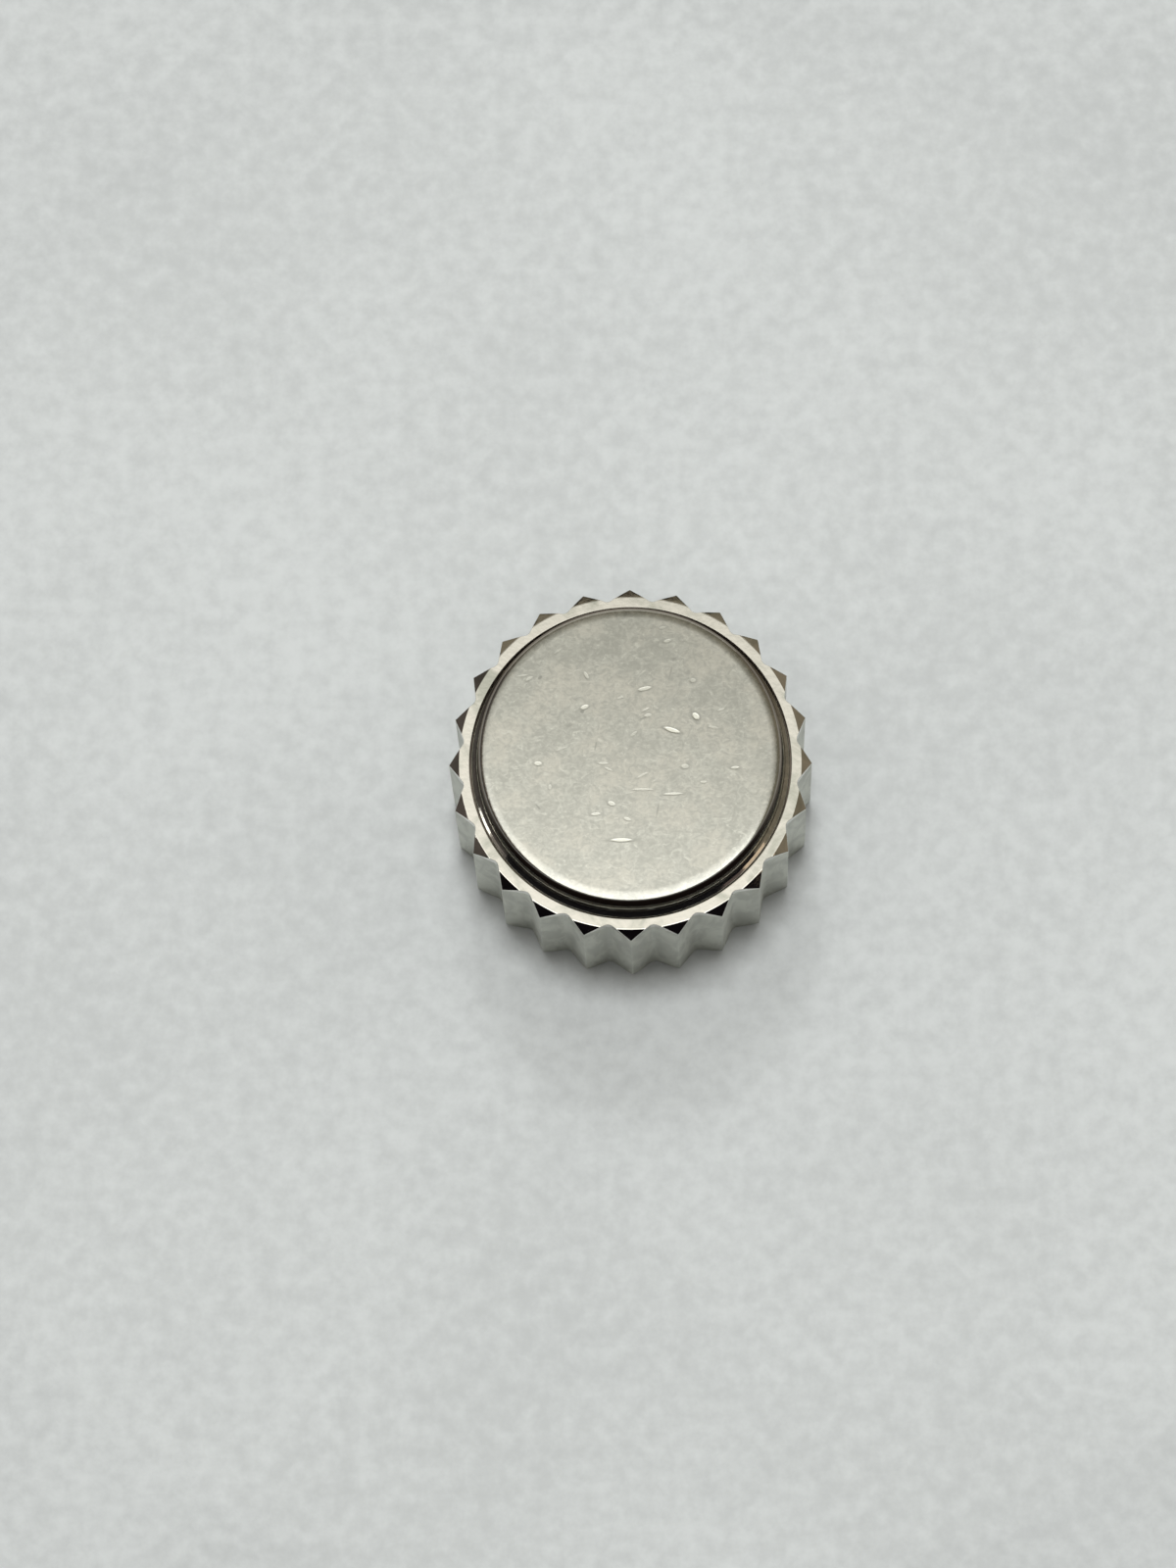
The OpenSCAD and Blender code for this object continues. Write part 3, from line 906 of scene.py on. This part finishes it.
def mark_masks(tree, place, camera_matrix):
    """Masks of the marks on the cap's face: the light mask is painted highlight, the dings' glints;
    the dark mask is the dark scratches and the painted shadow rims of the light marks.
    """
    light, dark = 0.0, 0.0
    for x, y, length, width, angle, tone in MARKS:
        centre = at_height((x, y), camera_matrix, CAP_TOP_Z * MM)
        placed = add_node(tree, "ShaderNodeMapping", {
            "Vector": place, "Location": (centre.x, centre.y, 0),
            "Rotation": (0, 0, math.radians(angle)),
            "Scale": (length / 2 * PIXEL, width / 2 * PIXEL, 1)}, vector_type="TEXTURE")
        away = radius_of(tree, placed.outputs["Vector"])
        # A light mark is a painted highlight, and its rim a painted shadow
        if tone > 0:
            light = larger(tree, ranged(tree, away, tone, 0, *GLINT_MARK_FADE), light)
            dark = larger(tree, ranged(tree, away, RIM_SHADOW_TONE * tone, 0, *RIM_SHADOW_FADE), dark)
        else:
            dark = larger(tree, ranged(tree, away, -tone, 0, *DARK_MARK_FADE), dark)
    return light, dark


def on_edge(shares):
    """Heights at shares of the cap's edge, from its ellipse's middle up, in millimetres."""
    return [CAP_FLAT_Z - CAP_EDGE_H + share * CAP_EDGE_H for share in shares]


def on_fillet(radii):
    """Heights at radii of the cap's fillet, from the land up, in millimetres."""
    return [LAND_Z + radius * CAP_FILLET for radius in radii]


def cap_masks(tree, place):
    """Masks of the cap's polished edge and wall, the painted shade band on its wall, the part where
    that band is painted brown rather than black, the painted brown shade low on the edge behind,
    and the haze on its fillet."""
    _, behind, height = parts_of(tree, place)
    polish = falls(tree, height, *on_edge(POLISH_EDGE), MM)
    # Painted shade: a dark band low on the wall and fillet, in place of its dark reflection, brown
    # away from the front
    below = falls(tree, height, *on_edge(SHADE_BAND_EDGE), MM)
    painted_shade = product(tree, below, rises(tree, height, *on_fillet(SHADE_BAND_FILLET), MM))
    brown = rises(tree, behind, *BROWN_SHADE_BEHIND, MM)
    # Painted shade: brown low on the edge, growing towards the back
    rim = falls(tree, height, *on_edge(BACK_SHADE_EDGE), MM)
    back_shade = product(tree, rim, ranged(tree, behind, 0, BACK_SHADE_MOST, *BACK_SHADE_BEHIND, MM))
    haze = product(tree, below, ranged(tree, height, *HAZE, *on_fillet(HAZE_FILLET), MM))
    return polish, painted_shade, brown, back_shade, haze


def satin_material(camera_matrix):
    """Cap: a satin face with a mottled grain and small marks, the light ones painted highlights, a
    polished edge and brim, painted brown shade on the edge behind, and a painted shade band on the
    wall, black in front and brown elsewhere."""
    material, tree, shader, place = new_material("satin_steel")
    polish, painted_shade, brown, back_shade, haze = cap_masks(tree, place)
    cloud, mottle = noise(tree, place, **CLOUD), noise(tree, place, **MOTTLE)
    strokes, grain = noise(tree, place, **STROKES), noise(tree, place, **CAP_GRAIN)
    light, dark = mark_masks(tree, place, camera_matrix)
    tones = sum_of(tree, (cloud, 0.25), (mottle, 0.45), (strokes, 0.30))
    pale = mixed(tree, rises(tree, cloud, *CLOUD_FADE),
                 shade(CAP_COLOUR, CAP_LIGHT), shade(CAP_WARM))
    base = mixed(tree, rises(tree, tones, *TONE_FADE), shade(CAP_COLOUR, CAP_DARK), pale)
    covers = [
        (ranged(tree, strokes, 0, STROKE_MOST, *STROKE_FADE), shade(CAP_COLOUR, STROKE_LIGHT)),
        # The dark scratches with the painted shadow rims, then the light marks, painted highlights
        (dark, shade(CAP_COLOUR, MARK_DARK)),
        (light, shade(CAP_COLOUR, GLINT_PAINT_TONE)),
        # Painted shade: brown low on the edge behind, and the dark band on the wall, black in front
        # and brown elsewhere
        (back_shade, shade(BROWN_SHADE_COLOUR)),
        (painted_shade, mixed(tree, brown, shade(DARK_SHADE_COLOUR), shade(BROWN_SHADE_COLOUR))),
    ]
    for mask, colour in covers:
        base = mixed(tree, mask, base, colour)
    tree.links.new(base, shader.inputs["Base Color"])
    satin = ranged(tree, sum_of(tree, (cloud, 0.5), (mottle, 0.5)), *CAP_ROUGH, *SATIN_FADE)
    rough = add_node(tree, "ShaderNodeMix", {0: polish, 2: satin, 3: POLISH_ROUGH},
                     data_type="FLOAT").outputs[0]
    tree.links.new(rough, shader.inputs["Roughness"])
    # Under the painted shade the cap is matt and not metallic, so the dark band shows no reflection
    metal = sum_of(tree, (painted_shade, -1.0), (haze, -1.0), (1.0, 1.0))
    tree.links.new(metal, shader.inputs["Metallic"])
    tree.links.new(sum_of(tree, (painted_shade, -0.5), (0.5, 1.0)), shader.inputs["Specular IOR Level"])
    relief = sum_of(tree, (grain, 0.15), (mottle, 0.7), (strokes, 0.2), (light, -2.0))
    bumped(tree, shader, relief, CAP_BUMP)
    return material


def turned_material(name, colour, rough, depth=TURNED_BUMP):
    """Turned steel: fine rings round the axis on flat faces and walls."""
    material, tree, shader, place = new_material(name)
    along = sum_of(tree, (radius_of(tree, place), 1.0), (parts_of(tree, place)["Z"], 1.0))
    rings = add_node(tree, "ShaderNodeTexNoise", {
        "W": along, "Scale": TURNED_RINGS, "Detail": 3.0}, noise_dimensions="1D").outputs["Fac"]
    cloud = noise(tree, place, **TURNED_CLOUD)
    dark, light = [shade(colour, tone) for tone in TURNED_TONES]
    least, most = [rough + change for change in TURNED_SPREAD]
    tree.links.new(mixed(tree, rises(tree, cloud), dark, light), shader.inputs["Base Color"])
    tree.links.new(ranged(tree, rings, least, most), shader.inputs["Roughness"])
    shader.inputs["Metallic"].default_value = 1
    bumped(tree, shader, rings, depth)
    return material


def rubber_material():
    """Black seal rubber, faintly mottled and matt."""
    material, tree, shader, place = new_material("seal_rubber")
    mottle, grain = noise(tree, place, **RUBBER_MOTTLE), noise(tree, place, **RUBBER_GRAIN)
    dark, light = [shade(RUBBER_COLOUR, tone) for tone in RUBBER_TONES]
    tree.links.new(mixed(tree, rises(tree, mottle), dark, light), shader.inputs["Base Color"])
    tree.links.new(ranged(tree, mottle, *RUBBER_ROUGH), shader.inputs["Roughness"])
    bumped(tree, shader, sum_of(tree, (grain, 0.5), (mottle, 1.0)), RUBBER_BUMP)
    return material


# Studio, in metres. Azimuths are in degrees from the camera's side, positive to the right.

FLOOR_R = 0.40
FLOOR_Z = -1e-5
FLOOR_COLUMNS = 128
FLOOR_COLOUR = (0.660, 0.682, 0.682)
FLOOR_TONES = (0.90, 1.09)
FLOOR_PATCH = dict(scale=120, detail=3)
FLOOR_FLECK = dict(scale=2600, detail=3, roughness=0.6)
FLOOR_ROUGH = 0.55
FLOOR_SPECULAR = 0.3
FLOOR_BUMP = 6e-6
PALE_COLOUR = (0.86, 0.84, 0.78)
AMBIENT_COLOUR = (1.0, 0.985, 0.92)
AMBIENT = 0.40

# Lamps: name, azimuth, elevation, distance, width and watts
LAMP_COLOUR = (0.985, 0.998, 1.0)
LAMPS = [
    ("key_lamp", 180, 82, 0.5, 0.13, 1.17),
    ("back_lamp", 180, 47, 0.5, 0.11, 0.43),
]

# The level card over the crown, which the steel mirrors. Its edges, and where its glow changes, are
# slopes: distance per height from the point over the crown, front and left negative.
CEILING_Z = 0.25
CEILING_SIDES = (-1.8, 1.8)
CEILING_ENDS = (-0.93, 1.7)
CEILING_GLOW = (2.14, 2.11, 2.01)
CEILING_FADES = [
    (-0.03, 0.15, (1.22, 1.19, 1.10)),
    (0.16, 0.46, (0.46, 0.45, 0.395)),
    (0.60, 0.95, (0.27, 0.25, 0.20)),
]
CEILING_SLANT = 0.27
CEILING_LEFT = (-0.70, -0.62)
CEILING_LEFT_GLOW = (0.115, 0.090, 0.068)
CEILING_RIGHT = (0.38, 0.70)
CEILING_RIGHT_SLANT = 0.80
CEILING_RIGHT_GLOW = (0.215, 0.195, 0.145)

# The dark bench round the pale sheet, which the steel mirrors: radii, height and glow
BENCH = (0.016, 0.206, 0.0003, (0.030, 0.025, 0.020))
BENCH_COLUMNS = 96

# Upright bands round the crown, which the steel mirrors: name, distance, lowest and highest point,
# first and last azimuth, glow, and the grey that they pass on to the floor by way of the steel
WALL_STEPS = 48
WALLS = [
    ("front_shade", 0.20, 0.0005, 0.214, -69, 60, (0.004, 0.003, 0.004), 0),
    ("right_corner", 0.1975, 0.106, 0.214, 41, 60, (0.150, 0.110, 0.100), 0),
    ("left_wall", 0.205, 0.0005, 0.190, -142, -69, (0.090, 0.076, 0.068), 0.8),
    ("right_wall", 0.205, 0.0005, 0.190, 60, 142, (0.225, 0.190, 0.140), 0.8),
    ("left_window", 0.195, 0.085, 0.106, -91.5, -81.5, (3.0, 2.9, 2.7), 0),
    ("left_frame", 0.195, 0.085, 0.106, -81.5, -70, (0.34, 0.29, 0.26), 0),
    ("right_window", 0.195, 0.087, 0.122, 53, 67, (1.05, 0.80, 0.58), 0),
    ("back_wall", 0.055, 0.0003, 0.014, 140, 220, (0.205, 0.180, 0.133), 0),
]


def around(azimuth):
    """Angle from +X, in radians, of an azimuth in degrees."""
    return math.radians(azimuth - 90) + CAMERA_TURN


def new_card(name, mesh, material):
    """A stage object that the steel mirrors, and that all other rays pass."""
    data = bpy.data.meshes.new(name)
    mesh.to_mesh(data)
    mesh.free()
    data.materials.append(material)
    card = bpy.data.objects.new(name, data)
    bpy.context.scene.collection.objects.link(card)
    card.visible_camera = False
    card.visible_diffuse = False
    card.visible_transmission = False
    card.visible_volume_scatter = False
    card.visible_shadow = False
    return card


def glow_material(name):
    """A card's material and its tree, without a shader."""
    material = bpy.data.materials.new(name)
    material.use_nodes = True
    tree = material.node_tree
    tree.nodes.remove(tree.nodes["Principled BSDF"])
    return material, tree


def add_glow(tree, colour, passed_on=0):
    """Makes a card glow in a colour. A ray that has come off the floor or another dull surface
    gets the grey passed_on instead."""
    depth = add_node(tree, "ShaderNodeLightPath").outputs["Diffuse Depth"]
    bounced = math_node(tree, "MINIMUM", depth, 1.0)
    seen = mixed(tree, bounced, colour, shade((passed_on, passed_on, passed_on)))
    glow = add_node(tree, "ShaderNodeEmission", {"Color": seen, "Strength": 1.0})
    tree.links.new(glow.outputs[0], tree.nodes["Material Output"].inputs["Surface"])


def ceiling_material():
    """Glow of the ceiling: bright overhead, dimmer behind, and brown at the left and right."""
    material, tree = glow_material("ceiling")
    place = add_node(tree, "ShaderNodeTexCoord").outputs["Object"]
    x, y, _ = parts_of(tree, place)
    slanted = sum_of(tree, (x, CEILING_SLANT), (y, 1.0))
    glow = shade(CEILING_GLOW)
    for start, end, colour in CEILING_FADES:
        glow = mixed(tree, rises(tree, slanted, start, end, CEILING_Z), glow, shade(colour))
    left = falls(tree, x, *CEILING_LEFT, CEILING_Z)
    glow = mixed(tree, left, glow, shade(CEILING_LEFT_GLOW))
    aside = sum_of(tree, (y, CEILING_RIGHT_SLANT), (x, 1.0))
    right = rises(tree, aside, *CEILING_RIGHT, CEILING_Z)
    add_glow(tree, mixed(tree, right, glow, shade(CEILING_RIGHT_GLOW)))
    return material


def ceiling_card():
    """The level card over the crown."""
    (left, right), (front, back) = CEILING_SIDES, CEILING_ENDS
    corners = [(left, front), (right, front), (right, back), (left, back)]
    mesh = bmesh.new()
    mesh.faces.new([mesh.verts.new((x * CEILING_Z, y * CEILING_Z, CEILING_Z)) for x, y in corners])
    card = new_card("ceiling", mesh, ceiling_material())
    card.rotation_euler.z = CAMERA_TURN


def wall_band(name, distance, low, high, start, end, colour, passed_on):
    """An upright band round the crown, from one azimuth to another."""
    mesh = bmesh.new()
    rows = []
    for i in range(WALL_STEPS + 1):
        a = around(start + (end - start) * i / WALL_STEPS)
        x, y = distance * math.cos(a), distance * math.sin(a)
        rows.append([mesh.verts.new((x, y, z)) for z in (low, high)])
    for first, second in zip(rows, rows[1:]):
        mesh.faces.new((first[0], second[0], second[1], first[1]))
    material, tree = glow_material(name)
    add_glow(tree, shade(colour), passed_on)
    return new_card(name, mesh, material)


def bench_card(inner, outer, height, colour):
    """A level ring low over the floor."""
    mesh = bmesh.new()
    profile = [(inner, height), (outer, height)]
    add_skin(mesh, ring_stations(BENCH_COLUMNS, lambda a: profile), closed=False)
    material, tree = glow_material("bench")
    add_glow(tree, shade(colour))
    new_card("bench", mesh, material)


def make_floor():
    """Plain pale floor, faintly mottled."""
    mesh = bmesh.new()
    bmesh.ops.create_circle(mesh, cap_ends=True, segments=FLOOR_COLUMNS, radius=FLOOR_R)
    data = bpy.data.meshes.new("floor")
    mesh.to_mesh(data)
    mesh.free()
    material, tree, shader, place = new_material("floor")
    patch, fleck = noise(tree, place, **FLOOR_PATCH), noise(tree, place, **FLOOR_FLECK)
    spots = rises(tree, sum_of(tree, (patch, 0.4), (fleck, 0.6)))
    dark, light = [shade(FLOOR_COLOUR, tone) for tone in FLOOR_TONES]
    tree.links.new(mixed(tree, spots, dark, light), shader.inputs["Base Color"])
    shader.inputs["Roughness"].default_value = FLOOR_ROUGH
    shader.inputs["Specular IOR Level"].default_value = FLOOR_SPECULAR
    bumped(tree, shader, fleck, FLOOR_BUMP)
    data.materials.append(material)
    floor = bpy.data.objects.new("floor", data)
    floor.location.z = FLOOR_Z
    bpy.context.scene.collection.objects.link(floor)


def make_world():
    """Pale surroundings for the camera and for reflections, and an even ambient light."""
    world = bpy.data.worlds.new("studio")
    bpy.context.scene.world = world
    world.use_nodes = True
    tree = world.node_tree
    tree.nodes.clear()
    rays = add_node(tree, "ShaderNodeLightPath").outputs
    seen = math_node(tree, "ADD", rays["Is Camera Ray"], rays["Is Glossy Ray"])
    seen = add_node(tree, "ShaderNodeMath", {0: seen, 1: rays["Is Transmission Ray"]},
                    operation="ADD", use_clamp=True).outputs[0]
    ambient = add_node(tree, "ShaderNodeBackground", {
        "Color": shade(AMBIENT_COLOUR), "Strength": AMBIENT}).outputs[0]
    pale = add_node(tree, "ShaderNodeBackground", {
        "Color": shade(PALE_COLOUR), "Strength": 1.0}).outputs[0]
    both = add_node(tree, "ShaderNodeMixShader", {0: seen, 1: ambient, 2: pale})
    add_node(tree, "ShaderNodeOutputWorld", {"Surface": both.outputs[0]})


def make_lamp(name, azimuth, elevation, distance, width, watts):
    """A round soft lamp that faces the crown. It isn't mirrored: the cards are."""
    data = bpy.data.lights.new(name, "AREA")
    data.shape = "DISK"
    data.size = width
    data.energy = watts
    data.color = LAMP_COLOUR
    lamp = bpy.data.objects.new(name, data)
    a, e = around(azimuth), math.radians(elevation)
    towards = Vector((math.cos(a) * math.cos(e), math.sin(a) * math.cos(e), math.sin(e)))
    lamp.location = towards * distance
    lamp.rotation_mode = "QUATERNION"
    lamp.rotation_quaternion = towards.to_track_quat("Z", "Y")
    lamp.visible_glossy = False
    bpy.context.scene.collection.objects.link(lamp)


def make_studio():
    """Floor, surroundings, lamps and the cards that the steel mirrors."""
    make_floor()
    make_world()
    for lamp in LAMPS:
        make_lamp(*lamp)
    ceiling_card()
    bench_card(*BENCH)
    walls = {name: wall_band(name, *rest) for name, *rest in WALLS}
    # The front shade also keeps the ambient light off the floor and the dull parts in front
    walls["front_shade"].visible_diffuse = True


# The whole scene

bpy.context.scene.view_settings.view_transform = "Standard"
camera_matrix = make_camera()
make_studio()

turned = turned_material("turned_steel", TURNED_COLOUR, TURNED_ROUGH)
make_head(polished_material())
make_cap(satin_material(camera_matrix))
make_sleeve(turned)
make_guide_tube(turned)
make_hub(turned_material("hub_steel", HUB_COLOUR, HUB_ROUGH))
make_spring(turned_material("spring_steel", SPRING_COLOUR, SPRING_ROUGH, SPRING_BUMP))
make_small_rings(turned_material("washer_steel", WASHER_COLOUR, WASHER_ROUGH), rubber_material())
